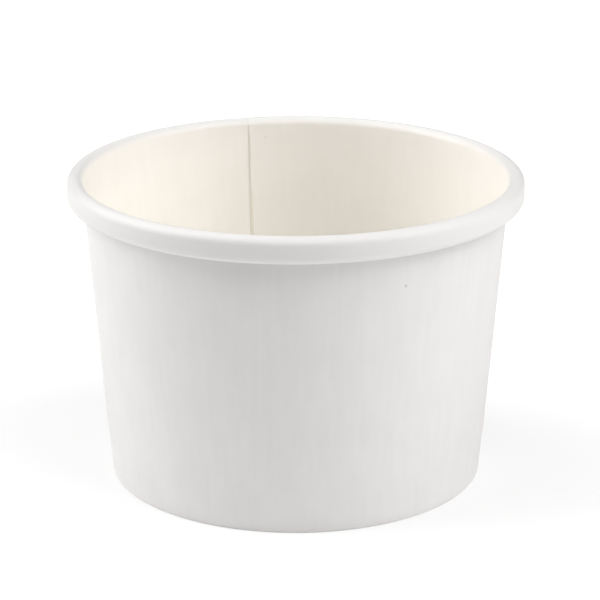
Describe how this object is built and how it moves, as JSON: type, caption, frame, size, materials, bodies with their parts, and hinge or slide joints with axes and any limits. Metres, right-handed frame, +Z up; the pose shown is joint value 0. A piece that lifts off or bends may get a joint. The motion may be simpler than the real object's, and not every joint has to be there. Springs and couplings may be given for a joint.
{
  "type": "paper food container",
  "caption": "Round tapered paper tub, open at the top, with a rolled brim, a lapped side seam and a recessed bottom.",
  "frame": {"origin": "on the floor, under the middle of the brim, which is on the axis of the tapered side", "axes": "+Z up along the container's axis, from the floor to the open mouth; the side seam's inner cut edge faces away from -Y, 104 degrees from +X towards +Y"},
  "size_m": [0.09, 0.09, 0.061],
  "materials": {
    "side_board": "white coated paperboard, smooth satin",
    "bottom_board": "cream-white coated paperboard, smooth satin"
  },
  "bodies": {
    "root": {"side_wall": "side_board", "bottom": "bottom_board"}
  },
  "joints": []
}
